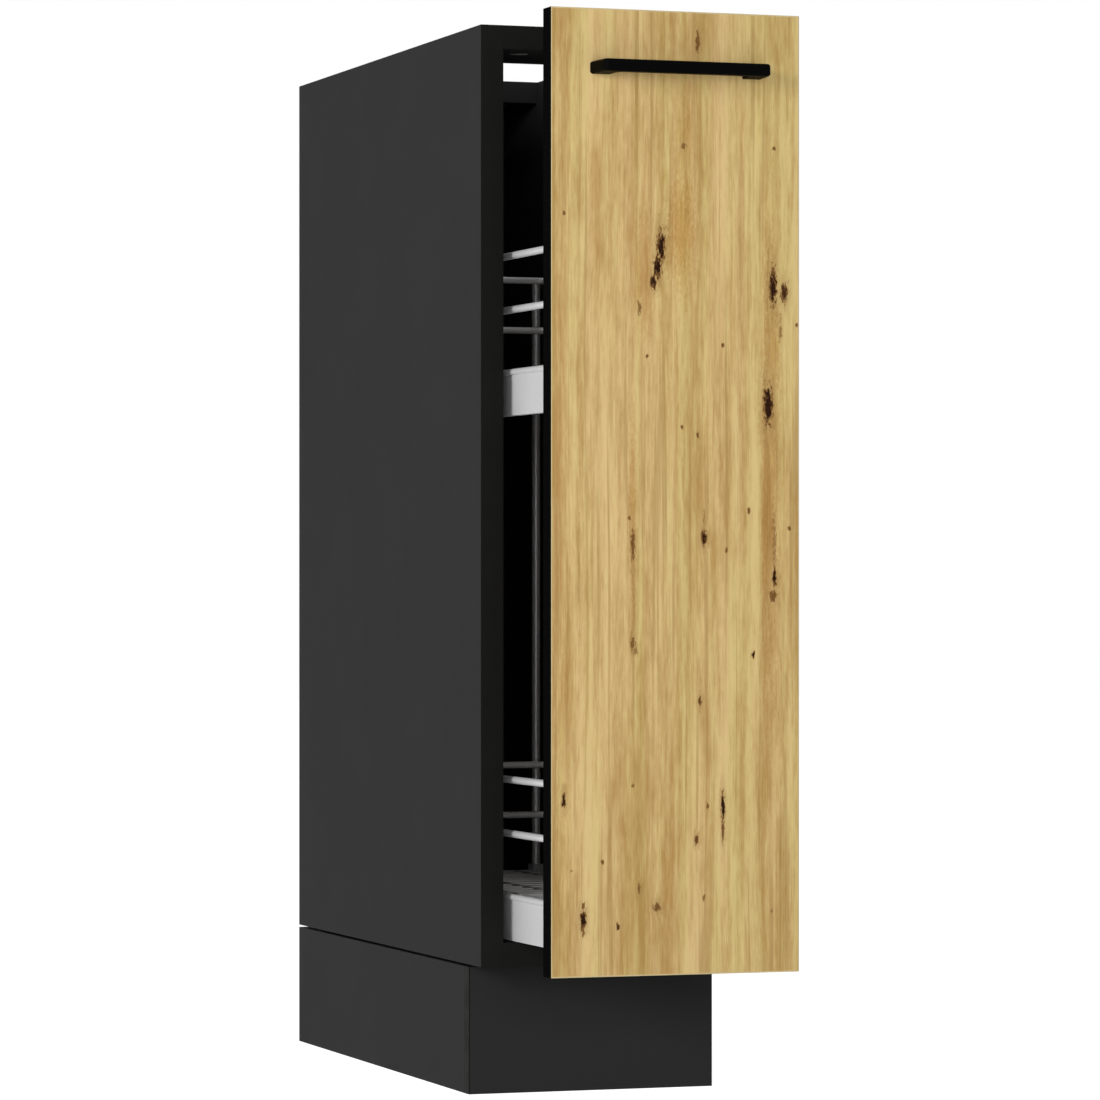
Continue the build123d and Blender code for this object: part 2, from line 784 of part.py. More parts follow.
def basket_floor(level):
    z = ring_z + level
    front = basket_start + sheet + play
    floor = wire_loop(ring_half_width + ring_radius, front, basket_end, ring_corner,
                      ring_radius, z)
    for side in SIDES.values():
        floor += rod(ring_radius, (side * floor_beam_place, front + ring_radius, z),
                     (side * floor_beam_place, basket_end - ring_radius, z))
    reach = bead_axis() - bead_radius - play
    pitch = (basket_end - front) / (floor_wire_count + 1)
    wire_z = z + ring_radius - floor_wire_radius
    for index in range(floor_wire_count):
        y = front + pitch * (index + 1)
        floor += rod(floor_wire_radius, (-reach, y, wire_z), (reach, y, wire_z))
    return floor


def bead_axis():
    return basket_half_width - side_sheet / 2


def basket_side(side, level):
    """A steel side: rolled top edge, flat face and a return along the bottom."""
    top = ring_z + ring_radius + level
    low = top - side_height
    outer = side * basket_half_width
    section = rect((outer, outer - side * side_sheet), (low, top - bead_radius))
    section += Pos(side * bead_axis(), top - bead_radius) * Circle(bead_radius)
    section += rect((outer, outer - side * side_return), (low, low + side_sheet))
    return along_y(section, (basket_start + sheet + play, basket_end))


def basket_rail(level, rise):
    return wire_loop(basket_half_width, basket_start, basket_end, rail_corner, rail_radius,
                     ring_z + level + rise)


def rear_rod(side):
    top = ring_z + basket_pitch + upper_rail_rise
    return rod(rod_radius, (side * rod_place, rod_y, deck), (side * rod_place, rod_y, top))


def basket_clips():
    """Clamps: rails to the hoop at the front, floors to the rods at the back."""
    clips = []
    half_height = clip_depth_height / 2
    for side in SIDES.values():
        x = side * hoop_half_width
        wire_y = basket_start + rail_radius
        for level in (0, basket_pitch):
            z = ring_z + level + upper_rail_rise
            clip = block((x - hoop_radius - clip_margin, x + hoop_radius + clip_margin),
                         (hoop_y - hoop_radius / 2, wire_y + rail_radius + clip_margin),
                         (z - half_height, z + half_height))
            clip -= rod(hoop_radius + slip / 2, (x, hoop_y, z - clip_depth_height),
                        (x, hoop_y, z + clip_depth_height))
            clips.append(clip - rod(rail_radius + slip / 2, (x - bracket_width, wire_y, z),
                                    (x + bracket_width, wire_y, z)))
        x = side * rod_place
        wire_y = basket_end - ring_radius
        for z in (ring_z, ring_z + basket_pitch):
            clip = block((x - rod_radius - clip_margin, x + rod_radius + clip_margin),
                         (wire_y - ring_radius - clip_margin, rod_y + rod_radius / 2),
                         (max(z - half_height, deck), z + half_height))
            clip -= rod(rod_radius + slip / 2, (x, rod_y, z - clip_depth_height),
                        (x, rod_y, z + clip_depth_height))
            clips.append(clip - rod(ring_radius + slip / 2, (x - bracket_width, wire_y, z),
                                    (x + bracket_width, wire_y, z)))
    return clips


# Carcass
for name, side in SIDES.items():
    save(f"side_panel_{name}", side_panel(side))
save("bottom_panel", bottom_panel())
save("top_rail_front", top_rail((y_front + edging, y_front + rail_depth), JOINTS[2:3]))
save("top_rail_rear", top_rail((y_back - rail_depth, y_back), JOINTS[3:]))
save("back_panel", back_panel_space(0))
save("carcass_edging", carcass_edge_strips())
save("cam_locks", [cam_lock(side, cam_y, z) for cam_y, _, z in JOINTS for side in SIDES.values()])
save("cam_bolts", [cam_bolt(side, cam_y, z) for cam_y, _, z in JOINTS for side in SIDES.values()])
save("dowels", [dowel(side, dowel_y, z) for _, dowel_y, z in JOINTS for side in SIDES.values()])

# Legs and plinth
save("leg_sockets", [leg_socket(*place) for place in LEGS.values()])
save("leg_screws", [piece for place in LEGS.values() for piece in leg_screws(*place)])
for name, place in LEGS.items():
    save(f"foot_{name}", foot(*place))
plinth_end = half_width - plinth_edging_thickness
save("plinth_front", block((-plinth_end, plinth_end), (plinth_face, plinth_rear),
                           (0, plinth_height)))
save("plinth_edging", [block((side * plinth_end, side * half_width), (plinth_face, plinth_rear),
                             (0, plinth_height)) for side in SIDES.values()])
for name, side in SIDES.items():
    save(f"plinth_{name}", plinth_side(side))
save("plinth_clips", plinth_clips())

# Runner and soft-close unit
save("runner_base", runner_base())
save("runner_base_screws", runner_base_screws())
for name, side in SIDES.items():
    save(f"runner_outer_{name}", runner_outer(side))
    save(f"runner_middle_{name}", opened(runner_middle_member(side), 1 / 2))
    save(f"runner_inner_{name}", opened(runner_inner(side), 1))
save("ball_cages_outer", [opened(ball_cage(side, outer_cage_offset, outer_ball_height), 1 / 4)
                          for side in SIDES.values()])
save("ball_cages_inner", [opened(ball_cage(side, inner_cage_offset, inner_ball_height), 3 / 4)
                          for side in SIDES.values()])
save("balls_outer", [opened(ball, 1 / 4) for side in SIDES.values()
                     for ball in balls(side, outer_ball_height)])
save("balls_inner", [opened(ball, 3 / 4) for side in SIDES.values()
                     for ball in balls(side, inner_ball_height)])
save("soft_close_housing", soft_close_housing())
save("soft_close_catch", soft_close_catch())

# Pull-out
PULL_OUT = {
    "carriage": [carriage()],
    "carriage_screws": carriage_screws(),
    "frame_bolts": frame_bolts(),
    "front_panel": [front_panel()],
    "front_edging": front_edge_strips(),
    "handle": [handle()],
    "handle_screws": handle_screws(),
    "front_hoop": [hoop()],
    "front_brackets": front_brackets(),
    "front_bracket_screws": bracket_screws(),
    "rear_rod_left": [rear_rod(SIDES["left"])],
    "rear_rod_right": [rear_rod(SIDES["right"])],
    "basket_clips": basket_clips(),
}
for name, level in (("lower", 0), ("upper", basket_pitch)):
    PULL_OUT[f"{name}_basket_top_rail"] = [basket_rail(level, upper_rail_rise)]
    PULL_OUT[f"{name}_basket_low_rail"] = [basket_rail(level, lower_rail_rise)]
    PULL_OUT[f"{name}_basket_floor"] = [basket_floor(level)]
    for side_name, side in SIDES.items():
        PULL_OUT[f"{name}_basket_side_{side_name}"] = [basket_side(side, level)]
for name, pieces in PULL_OUT.items():
    save(name, [opened(piece, 1) for piece in pieces])
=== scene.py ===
import json
import math

import bmesh
import bpy
from mathutils import Matrix, Vector


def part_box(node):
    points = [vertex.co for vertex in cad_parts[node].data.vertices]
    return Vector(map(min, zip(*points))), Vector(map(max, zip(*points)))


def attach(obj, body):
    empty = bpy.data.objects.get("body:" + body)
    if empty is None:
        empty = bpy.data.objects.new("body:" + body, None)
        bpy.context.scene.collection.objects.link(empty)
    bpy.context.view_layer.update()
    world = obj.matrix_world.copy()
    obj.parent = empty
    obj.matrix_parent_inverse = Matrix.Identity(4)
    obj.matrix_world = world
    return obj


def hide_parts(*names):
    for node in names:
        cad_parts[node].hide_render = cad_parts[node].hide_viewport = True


# Looks of a narrow pull-out base cabinet. Metres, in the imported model's frame:
# +Z is up and the front panel faces -Y.

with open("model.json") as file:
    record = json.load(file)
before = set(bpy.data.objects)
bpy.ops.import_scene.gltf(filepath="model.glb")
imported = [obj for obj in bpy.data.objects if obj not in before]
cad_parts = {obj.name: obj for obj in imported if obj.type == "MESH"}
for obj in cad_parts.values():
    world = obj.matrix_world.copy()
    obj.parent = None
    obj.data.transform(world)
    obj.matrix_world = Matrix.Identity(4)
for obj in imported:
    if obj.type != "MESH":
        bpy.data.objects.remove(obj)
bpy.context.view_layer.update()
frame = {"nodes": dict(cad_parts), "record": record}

MM = 0.001
WHITE = (1.0, 1.0, 1.0, 1.0)


# Node graphs
class Graph:
    """One material's node tree, with short calls for the nodes it uses."""

    def __init__(self, name):
        self.material = bpy.data.materials.new(name)
        self.material.use_nodes = True
        self.tree = self.material.node_tree
        self.tree.nodes.clear()
        self.place = self.add("TexCoord").outputs["Object"]

    def add(self, kind, values=None, **settings):
        """A new node; a value that is a socket is linked, and any other is set."""
        node = self.tree.nodes.new("ShaderNode" + kind)
        for key, value in settings.items():
            setattr(node, key, value)
        for key, value in (values or {}).items():
            if isinstance(value, bpy.types.NodeSocket):
                self.tree.links.new(value, node.inputs[key])
            else:
                node.inputs[key].default_value = value
        return node

    def math(self, operation, first, second=0.0, third=None, clamp=False):
        values = {0: first, 1: second}
        if third is not None:
            values[2] = third
        return self.add("Math", values, operation=operation, use_clamp=clamp).outputs[0]

    def largest(self, parts):
        result = parts[0]
        for part in parts[1:]:
            result = self.math("MAXIMUM", result, part)
        return result

    def noise(self, per_metre, detail=2.0, roughness=0.5, vector=None, shift=0.0):
        """Noise with so many cells per metre along X, Y and Z."""
        values = {0: vector or self.place, 1: per_metre}
        scaled = self.add("VectorMath", values, operation="MULTIPLY").outputs[0]
        moved = self.add("VectorMath", {0: scaled, 1: (shift, shift, shift)}, operation="ADD")
        values = {"Vector": moved.outputs[0], "Scale": 1.0, "Detail": detail,
                  "Roughness": roughness}
        return self.add("TexNoise", values).outputs["Fac"]

    def span(self, value, low, high, out_low=0.0, out_high=1.0):
        """Smooth step that carries low..high to out_low..out_high."""
        values = {"Value": value, "From Min": low, "From Max": high, "To Min": out_low,
                  "To Max": out_high}
        return self.add("MapRange", values, interpolation_type="SMOOTHSTEP").outputs["Result"]

    def mix(self, share, first, second, blend="MIX"):
        values = {0: share, 6: first, 7: second}
        return self.add("Mix", values, data_type="RGBA", blend_type=blend).outputs[2]

    def bump(self, height, depth, strength=1.0, normal=None):
        values = {"Height": height, "Distance": depth, "Strength": strength}
        if normal:
            values["Normal"] = normal
        return self.add("Bump", values).outputs["Normal"]

    def edge_normal(self, radius):
        return self.add("Bevel", {"Radius": radius}, samples=6).outputs["Normal"]

    def finish(self, **values):
        named = {key.replace("_", " "): value for key, value in values.items()}
        shader = self.add("BsdfPrincipled", named)
        output = self.add("OutputMaterial")
        self.tree.links.new(shader.outputs["BSDF"], output.inputs["Surface"])
        return self.material


def grey(level, tint=0.0):
    return (level, level, level * (1.0 + tint), 1.0)


def evenly(cells):
    return (cells, cells, cells)


# Boards, plastic, metal and paint
def melamine(name, level, specular, pearl):
    """Matt melamine board: a fine pearl texture and a slow unevenness in its sheen."""
    graph = Graph(name)
    grain = graph.noise(evenly(1500), 3.0, 0.6)
    cloud = graph.noise(evenly(14), shift=4.0)
    fleck = graph.noise(evenly(5200), 1.0, shift=9.0)
    tone = graph.mix(graph.span(fleck, 0.35, 0.7), grey(level * 0.86), grey(level * 1.14))
    normal = graph.bump(grain, pearl, 0.6, graph.edge_normal(0.5 * MM))
    return graph.finish(Base_Color=tone, Roughness=graph.span(cloud, 0.3, 0.7, 0.54, 0.57),
                        Specular_IOR_Level=specular, Normal=normal)


def moulded_plastic(name, level, tint, specular, roughness, grain_cells=900):
    """Plastic with a fine moulded grain."""
    graph = Graph(name)
    grain = graph.noise(evenly(grain_cells), roughness=0.6)
    cloud = graph.noise(evenly(60), shift=2.0)
    tone = graph.mix(cloud, grey(level * 0.9, tint), grey(level * 1.1, tint))
    rough = graph.span(cloud, 0.3, 0.7, roughness - 0.05, roughness + 0.05)
    normal = graph.bump(grain, 0.05 * MM, 0.5, graph.edge_normal(0.3 * MM))
    return graph.finish(Base_Color=tone, Roughness=rough, Specular_IOR_Level=specular,
                        Normal=normal)


def drawn_metal(name, level, metallic, smoothest, roughest):
    """Drawn or polished metal, with faint marks and a slightly uneven polish."""
    graph = Graph(name)
    tint = 0.01
    haze = graph.noise(evenly(90), 3.0, 0.6)
    wave = graph.noise(evenly(1300), shift=3.0)
    tone = graph.mix(haze, grey(level * 0.96, tint), grey(level, tint))
    return graph.finish(Base_Color=tone, Metallic=metallic,
                        Roughness=graph.span(haze, 0.3, 0.7, smoothest, roughest),
                        Normal=graph.bump(wave, 0.008 * MM, 0.3))


def rolled_steel(name, level, line_cells):
    """Zinc-plated steel: fine rolling lines and small crystal patches."""
    graph = Graph(name)
    lines = graph.noise(line_cells, 3.0, 0.7)
    cell = graph.add("TexVoronoi", {"Vector": graph.place, "Scale": 260.0}, feature="F1")
    patch = graph.math("MULTIPLY", cell.outputs["Distance"], 1.4, clamp=True)
    tone = graph.mix(patch, grey(level, 0.02), grey(level * 0.8, 0.03))
    tone = graph.mix(graph.span(lines, 0.4, 0.75, 0.0, 0.35), tone, grey(level * 0.6, 0.03))
    normal = graph.bump(lines, 0.02 * MM, 0.4, graph.edge_normal(0.25 * MM))
    return graph.finish(Base_Color=tone, Metallic=1.0,
                        Roughness=graph.span(lines, 0.3, 0.7, 0.26, 0.42), Normal=normal)


def powder_coat(name, level, roughness, specular):
    """Powder coat: a soft orange-peel surface."""
    graph = Graph(name)
    peel = graph.noise(evenly(520), roughness=0.45)
    cloud = graph.noise(evenly(18), shift=7.0)
    tone = graph.mix(cloud, grey(level * 0.96), grey(level * 1.02, 0.01))
    rough = graph.span(cloud, 0.3, 0.7, roughness - 0.04, roughness + 0.05)
    return graph.finish(Base_Color=tone, Roughness=rough, Specular_IOR_Level=specular,
                        Normal=graph.bump(peel, 0.05 * MM, 0.5))


def beech(name):
    """Plain beech of the dowels, its grain along X."""
    graph = Graph(name)
    streak = graph.noise((60, 900, 900), 3.0, 0.6)
    fleck = graph.noise((400, 2600, 2600), roughness=0.6, shift=4.0)
    tone = graph.mix(streak, (0.50, 0.33, 0.18, 1.0), (0.62, 0.45, 0.28, 1.0))
    tone = graph.mix(graph.span(fleck, 0.6, 0.75, 0.0, 0.5), tone, (0.32, 0.18, 0.09, 1.0))
    return graph.finish(Base_Color=tone, Roughness=0.6, Normal=graph.bump(fleck, 0.05 * MM, 0.5))


# Oak decor of the front panel, whose oak face is this wide between its edge strips
OAK_WIDTH = 194 * MM
OAK_GAIN = 0.75
OAK_COLOURS = {
    "dark": (0.417, 0.2455, 0.068),
    "pale": (0.686, 0.52, 0.2245),
    "pore": (0.25, 0.14, 0.045),
    "line": (0.37, 0.22, 0.065),
    "halo": (0.33, 0.19, 0.06),
    # The lip tones, paler than the face's, are the edge strip's oak decor with a painted highlight
    # along the edge
    "dark lip": (0.55, 0.42, 0.205),
    "pale lip": (0.66, 0.55, 0.32),
}
OLIVE_TINT = (0.982, 1.0, 0.93, 1.0)
ROSY_TINT = (1.02, 0.975, 0.995, 1.0)
SMUDGE_TINT = (0.82, 0.665, 0.47, 1.0)
KNOT_BROWN = (0.16, 0.078, 0.025, 1.0)
KNOT_BLACK = (0.02, 0.008, 0.004, 1.0)
# Layers of the grain: cells per metre along X, Y and Z, then detail, roughness and shift
GRAIN = {
    "streak": ((120, 120, 2.6), 2.0, 0.45, 0.0),
    "fine": ((420, 420, 9.0), 2.0, 0.55, 3.0),
    "dash": ((190, 190, 16), 3.0, 0.6, 21.0),
    "hue": ((90, 90, 1.6), 2.0, 0.5, 8.0),
    "slow": ((28, 28, 7.0), 2.0, 0.5, 13.0),
    "pore": ((2600, 2600, 70), 2.0, 0.6, 6.0),
    "fibre": ((1100, 1100, 40), 2.0, 0.6, 17.0),
    "line": ((260, 260, 3.4), 1.0, 0.5, 31.0),
    "speck": ((430, 430, 75), 2.0, 0.6, 27.0),
}
# How much each layer and the broad bands add to the tone, and the sums that read as the
# dark and the pale colour
TONE_SHARES = {"streak": 1.35, "fine": 0.35, "slow": 0.55, "fibre": 0.6, "dash": 1.05,
               "speck": 0.6}
BAND_TONE_SHARE = 0.6
TONE_RANGE = (2.0, 3.1)
# Tone of the broad bands across the board, as (place across it, paleness) shares
BAND_SHARES = [(0.0, 0.2), (0.06, 0.55), (0.17, 0.92), (0.27, 0.84), (0.32, 0.3), (0.43, 0.6),
               (0.55, 0.4), (0.66, 0.64), (0.75, 1.0), (0.82, 0.7), (0.89, 0.3), (0.95, 0.68),
               (1.0, 0.75)]
# Sideways sway of the grain, and how far it parts round a knot
SWAY = 2.2 * MM
SWELL = 3.5 * MM
# Where a dark core, the halo round it and a smudge start and are full, in knot radii
CORE_EDGE = (1.25, 0.35)
HALO_EDGE = (2.8, 0.6)
SMUDGE_EDGE = (1.5, 0.1)
# A knot has a halo if it is at least this dark and its half length is over this many mm
HALO_DARKNESS = 0.5
HALO_LENGTH = 3
# Knots and cracks, in mm: (x, z, half width, half length, darkness)
KNOTS = [
    (-12, 642, 3.3, 13, 0.95), (-14.5, 627, 3.4, 9, 1.0), (-18, 616, 2.6, 6, 0.85),
    (-29, 596, 2.0, 7, 0.35), (77, 614, 3.2, 15, 0.9), (86, 610, 3.2, 8, 0.8),
    (83, 582, 1.6, 12, 0.3), (73, 526, 3.9, 15, 1.0), (17, 794, 2.0, 8, 0.6),
    (78, 717, 1.4, 2, 0.6), (-88, 665, 1.4, 2, 0.6), (37, 570, 1.4, 2, 0.6),
    (-23, 561, 1.4, 2, 0.6), (17, 503, 1.4, 2, 0.6), (96, 586, 1.2, 2, 0.5),
    (5, 509, 1.4, 2, 0.5), (6, 717, 2.4, 4, 0.35), (-37, 441, 1.4, 2, 0.5),
    (-34, 422, 1.7, 12, 0.6), (22, 427, 2.5, 6, 0.85), (22, 442, 1.1, 9, 0.25),
    (40, 418, 1.4, 3, 0.45), (58, 447, 1.6, 3, 0.5), (90, 434, 1.3, 2, 0.6),
    (78, 397, 2.0, 7, 0.9), (77, 384, 2.8, 5, 0.6), (78, 423, 2.0, 29, 0.28),
    (-34, 349, 2.1, 5, 0.5), (-32, 343, 2.8, 4, 0.3), (61, 340, 1.6, 3, 0.85),
    (19, 306, 1.4, 4, 0.7), (-76, 399, 0.8, 66, 0.16), (-88, 234, 1.6, 6, 0.85),
    (37, 228, 1.6, 10, 1.0), (37, 210, 1.3, 10, 0.6), (16, 203, 1.6, 4, 0.7),
    (25, 228, 1.4, 3, 0.45), (-58, 188, 1.4, 2, 0.6), (-29, 168, 1.3, 4, 0.5),
    (-73, 146, 2.4, 7, 1.0), (-73, 156, 1.9, 3, 0.5), (-73, 139, 1.9, 6, 0.45),
    (-15, 154, 3.2, 4, 0.6), (-46, 140, 1.6, 3, 0.75), (22, 161, 1.1, 4, 0.35),
    (76, 149, 1.4, 2, 0.35), (-82, 182, 1.4, 1, 0.3), (-34, 244, 1.3, 2, 0.35),
]
# Brown smudges along the grain, in mm: (x, z, half width, half length, strength)
SMUDGES = [
    (4.6, 655, 10, 44, 1.0), (6, 712, 7, 44, 0.5), (74.5, 474, 6.5, 190, 0.65),
    (77, 566, 6, 44, 0.7), (-25, 623, 8, 44, 0.6), (-34, 440, 3, 66, 0.8),
    (22, 470, 5, 60, 0.35), (-88, 300, 6, 90, 0.3),
]


def oak_colour(name):
    return tuple(OAK_GAIN * value for value in OAK_COLOURS[name]) + (1.0,)


def spot(graph, place, edge, ragged):
    """Strength of one knot or smudge: none outside its edge, all of it inside."""
    x, z, half_width, half_length, strength = place
    scale = (1 / (half_width * MM), 0.0, 1 / (half_length * MM))
    shift = (-x / half_width, 0.0, -z / half_length)
    local = graph.add("VectorMath", {0: graph.place, 1: scale, 2: shift},
                      operation="MULTIPLY_ADD").outputs[0]
    distance = graph.add("VectorMath", {0: local}, operation="LENGTH").outputs["Value"]
    distance = graph.math("ADD", distance, ragged)
    start, full = edge
    return graph.span(distance, start, full, 0.0, strength)


def broad_bands(graph, across):
    """Paleness of the bands at a place across the board, in metres from its middle."""
    position = graph.math("MULTIPLY_ADD", across, 1.0 / OAK_WIDTH, 0.5)
    bands = graph.add("ValToRGB", {"Fac": position})
    ramp = bands.color_ramp
    ramp.interpolation = "B_SPLINE"
    while len(ramp.elements) < len(BAND_SHARES):
        ramp.elements.new(0.5)
    for element, (share, tone) in zip(ramp.elements, BAND_SHARES):
        element.position = share
        element.color = grey(tone)
    return graph.add("RGBToBW", {0: bands.outputs["Color"]}).outputs[0]


def oak(name):
    """Knotty oak decor: upright streaks that part round the knots, and dark cracks."""
    graph = Graph(name)
    ragged = graph.noise((620, 620, 240), 3.0, 0.7, shift=5.0)
    ragged = graph.math("MULTIPLY_ADD", ragged, 3.0, -1.5)
    haloed = [knot for knot in KNOTS if knot[4] >= HALO_DARKNESS and knot[3] > HALO_LENGTH]
    core = graph.largest([spot(graph, knot, CORE_EDGE, ragged) for knot in KNOTS])
    halo = graph.largest([spot(graph, knot, HALO_EDGE, ragged) for knot in haloed])
    smudge = graph.largest([spot(graph, place, SMUDGE_EDGE, ragged) for place in SMUDGES])

    split = graph.add("SeparateXYZ", {0: graph.place})
    across = split.outputs["X"]
    sway = graph.span(graph.noise((6, 6, 2.2), shift=11.0), 0.2, 0.8, -SWAY, SWAY)
    push = graph.math("ADD", sway, graph.math("MULTIPLY", halo, SWELL))
    moved = graph.add("CombineXYZ", {"X": graph.math("ADD", across, push),
                                     "Y": split.outputs["Y"], "Z": split.outputs["Z"]})
    layers = {key: graph.noise(cells, detail, roughness, moved.outputs[0], shift)
              for key, (cells, detail, roughness, shift) in GRAIN.items()}

    band = broad_bands(graph, graph.math("ADD", across, sway))
    level = graph.math("MULTIPLY", band, BAND_TONE_SHARE)
    for key, share in TONE_SHARES.items():
        level = graph.math("ADD", level, graph.math("MULTIPLY", layers[key], share))
    level = graph.span(level, *TONE_RANGE)
    tint = graph.mix(graph.span(layers["hue"], 0.35, 0.65), OLIVE_TINT, ROSY_TINT)
    colour = graph.mix(level, oak_colour("dark"), oak_colour("pale"))
    colour = graph.mix(1.0, colour, tint, "MULTIPLY")
    colour = graph.mix(graph.span(layers["pore"], 0.62, 0.8, 0.0, 0.28), colour,
                       oak_colour("pore"))
    colour = graph.mix(graph.span(layers["line"], 0.56, 0.68, 0.0, 0.5), colour,
                       oak_colour("line"))
    colour = graph.mix(smudge, colour, SMUDGE_TINT, "MULTIPLY")
    colour = graph.mix(graph.math("MULTIPLY", halo, 0.5), colour, oak_colour("halo"))
    colour = graph.mix(graph.span(core, 0.05, 0.42), colour, KNOT_BROWN)
    colour = graph.mix(graph.span(core, 0.5, 0.88), colour, KNOT_BLACK)

    ridges = graph.math("MULTIPLY", layers["fibre"], 0.35)
    pores = graph.math("MULTIPLY", graph.span(layers["pore"], 0.6, 0.8), 0.8)
    height = graph.math("SUBTRACT", ridges, pores)
    height = graph.math("SUBTRACT", height, graph.math("MULTIPLY", core, 2.5))
    return graph.finish(Base_Color=colour,
                        Roughness=graph.span(layers["fine"], 0.3, 0.7, 0.5, 0.62),
                        Specular_IOR_Level=graph.span(core, 0.05, 0.4, 0.2, 0.01),
                        Normal=graph.bump(height, 0.08 * MM, 0.6))


def panel_edge(name):
    """Black edge strip whose front lip carries the oak decor, painted paler as a highlight along
    the edge.
    """
    graph = Graph(name)
    normal = graph.add("TexCoord").outputs["Normal"]
    facing = graph.add("SeparateXYZ", {0: normal}).outputs["Y"]
    front = graph.span(facing, -0.6, -0.95)
    streak = graph.noise((300, 300, 6), roughness=0.6)
    # Front lip: oak decor in paler tones, a painted highlight along the edge
    lip = graph.mix(streak, oak_colour("dark lip"), oak_colour("pale lip"))
    grain = graph.noise(evenly(1100), roughness=0.6, shift=5.0)
    return graph.finish(Base_Color=graph.mix(front, grey(0.0004), lip),
                        Roughness=graph.span(grain, 0.3, 0.7, 0.5, 0.62),
                        Specular_IOR_Level=0.002, Normal=graph.bump(grain, 0.03 * MM, 0.4))


# Materials by the record's slots
MATERIALS = {
    "carcass_board": melamine("graphite_melamine", level=0.0198, specular=0.02, pearl=0.04 * MM),
    "back_board": melamine("graphite_hardboard", level=0.016, specular=0.02, pearl=0.07 * MM),
    "edge_strip": moulded_plastic("black_edge_strip", level=0.0078, tint=-0.08, specular=0.03,
                                  roughness=0.55, grain_cells=1400),
    "zinc": rolled_steel("bright_zinc", level=0.6, line_cells=evenly(500)),
    "beech": beech("beech"),
    "leg_plastic": moulded_plastic("black_leg_plastic", level=0.012, tint=0.0, specular=0.3,
                                   roughness=0.5),
    "runner_steel": rolled_steel("zinc_runner", level=0.58, line_cells=(900, 6, 900)),
    "ball_steel": drawn_metal("ball_steel", level=0.7, metallic=1.0, smoothest=0.04,
                              roughest=0.08),
    "soft_close_plastic": moulded_plastic("grey_damper_plastic", level=0.27, tint=0.02,
                                          specular=0.4, roughness=0.42),
    "oak": oak("knotty_oak"),
    "handle_black": powder_coat("satin_black", level=0.0012, roughness=0.45, specular=0.012),
    "chrome_wire": drawn_metal("satin_chrome_wire", level=0.84, metallic=0.3, smoothest=0.32,
                               roughest=0.37),
    "side_paint": powder_coat("light_grey_coat", level=0.595, roughness=0.42, specular=0.4),
}
for part in frame["record"]["subparts"]:
    for holder in frame["nodes"][part["node"]].material_slots:
        holder.material = MATERIALS[part["material_slot"]]

# Materials of single nodes
# Painted shade: the wire darkened for the rear rods, which stand deep in the cabinet
shaded_rod_wire = drawn_metal("rod_wire_painted_shade", level=0.46, metallic=0.3, smoothest=0.32, roughest=0.38)
# Painted shade: the wire darkened for the basket floors and their weld beads
shaded_floor_wire = drawn_metal("floor_wire_painted_shade", level=0.42, metallic=0.5, smoothest=0.32,
                           roughest=0.37)
NODE_MATERIALS = {
    "front_edging": panel_edge("panel_edge"),
    "rear_rod_left": shaded_rod_wire,
    "rear_rod_right": shaded_rod_wire,
    "lower_basket_floor": shaded_floor_wire,
    "upper_basket_floor": shaded_floor_wire,
}
for node, material in NODE_MATERIALS.items():
    frame["nodes"][node].material_slots[0].material = material


# Mesh helpers
SAME_POINT = 0.001 * MM


def solids_of(node):
    """Lowest and highest corner of each separate solid of a node."""
    mesh = bmesh.new()
    mesh.from_mesh(frame["nodes"][node].data)
    bmesh.ops.remove_doubles(mesh, verts=mesh.verts, dist=SAME_POINT)
    waiting = set(mesh.verts)
    boxes = []
    while waiting:
        found = []
        reached = [waiting.pop()]
        while reached:
            vertex = reached.pop()
            found.append(vertex.co.copy())
            for link in vertex.link_edges:
                other = link.other_vert(vertex)
                if other in waiting:
                    waiting.remove(other)
                    reached.append(other)
        boxes.append((Vector([min(co[i] for co in found) for i in range(3)]),
                      Vector([max(co[i] for co in found) for i in range(3)])))
    mesh.free()
    return sorted(boxes, key=lambda box: tuple(box[0]))


def join_rings(mesh, low, high):
    """Faces between two closed rings of as many points."""
    for index in range(len(low)):
        after = (index + 1) % len(low)
        mesh.faces.new((low[index], low[after], high[after], high[index]))


def lathe(profile, sides, climb=None):
    """A closed mesh from (radius, height) rings; climb lets a height follow the angle."""
    mesh = bmesh.new()
    rings = []
    for radius, height in profile:
        ring = []
        for index in range(sides):
            angle = math.tau * index / sides
            rise = climb(height, index / sides) if climb else height
            ring.append(mesh.verts.new((radius * math.cos(angle), radius * math.sin(angle), rise)))
        rings.append(ring)
    for low, high in zip(rings, rings[1:]):
        join_rings(mesh, low, high)
    mesh.faces.new(list(reversed(rings[0])))
    mesh.faces.new(rings[-1])
    return mesh


def object_of(mesh, name):
    data = bpy.data.meshes.new(name)
    mesh.to_mesh(data)
    mesh.free()
    item = bpy.data.objects.new(name, data)
    bpy.context.scene.collection.objects.link(item)
    return item


def cut(item, tool):
    """Applies a boolean difference and removes the tool."""
    modifier = item.modifiers.new("cut", "BOOLEAN")
    modifier.operation = "DIFFERENCE"
    modifier.object = tool
    modifier.solver = "EXACT"
    bpy.context.view_layer.update()
    result = bpy.data.meshes.new_from_object(
        item.evaluated_get(bpy.context.evaluated_depsgraph_get()))
    item.modifiers.clear()
    item.data = result
    bpy.data.objects.remove(tool)


# Screws with a domed head, a cross recess and a thread, in place of the plain ones
HEAD_HEIGHT = 2.0 * MM
HEAD_SIDES = 40
SHANK_SIDES = 20
DOME_STEPS = 6
